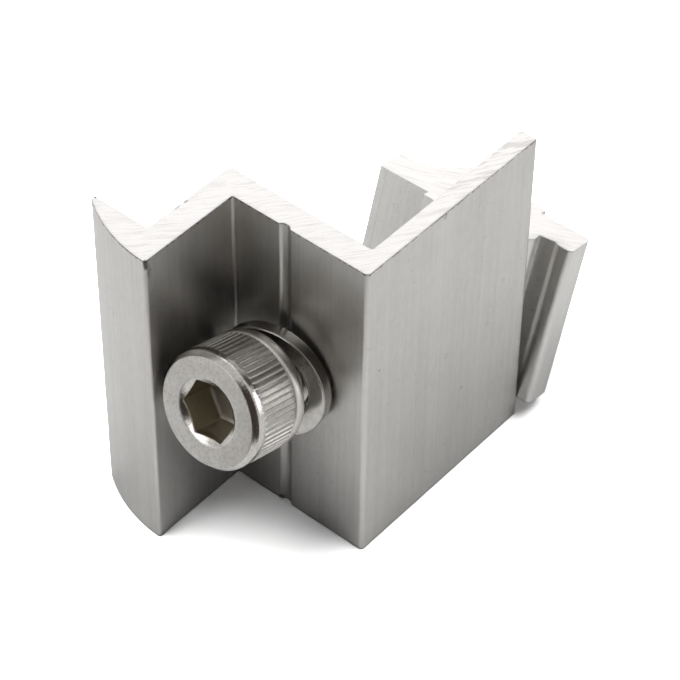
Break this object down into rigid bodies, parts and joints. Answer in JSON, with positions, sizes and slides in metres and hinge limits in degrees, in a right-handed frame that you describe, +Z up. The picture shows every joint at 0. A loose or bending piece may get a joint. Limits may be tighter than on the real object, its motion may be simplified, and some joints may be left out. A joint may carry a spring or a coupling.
{
  "type": "solar end clamp",
  "caption": "Aluminium end clamp for a solar panel frame: a sawn extrusion with a hooked lip and a long leg, a loose socket head screw, a spring washer and a rail nut.",
  "frame": {"origin": "on the lower sawn end of the clamp, under the centre of the screw hole, in the middle of the plate's thickness", "axes": "+Z up along the extrusion, +X along the long leg towards the rail nut, +Y towards the panel, the way the hooked lip points"},
  "size_m": [0.0495, 0.0293, 0.04],
  "materials": {
    "clamp_aluminium": "satin mill finish, sawn bright at both ends",
    "screw_steel": "bright stainless steel with a knurled head",
    "washer_steel": "polished stainless steel",
    "nut_aluminium": "satin mill finish, sawn bright at both ends"
  },
  "bodies": {
    "clamp": {"clamp_body": "clamp_aluminium", "spring_washer": "washer_steel"},
    "screw": {"cap_screw": "screw_steel"},
    "nut": {"rail_nut": "nut_aluminium"}
  },
  "joints": [
    {"name": "screw_turn", "type": "hinge", "parent": "clamp", "child": "screw", "pos_m": [0, 0, 0.0198], "axis": [-0.9658, 0.0152, 0.2588], "range_deg": [0, 1296]},
    {"name": "nut_travel", "type": "slide", "parent": "clamp", "child": "nut", "axis": [0.9658, -0.0152, -0.2588], "range_m": [0, 0.0045]}
  ],
  "couplings": [
    {"joint": "nut_travel", "follows": "screw_turn", "m_per_rad": 0.00019894}
  ]
}
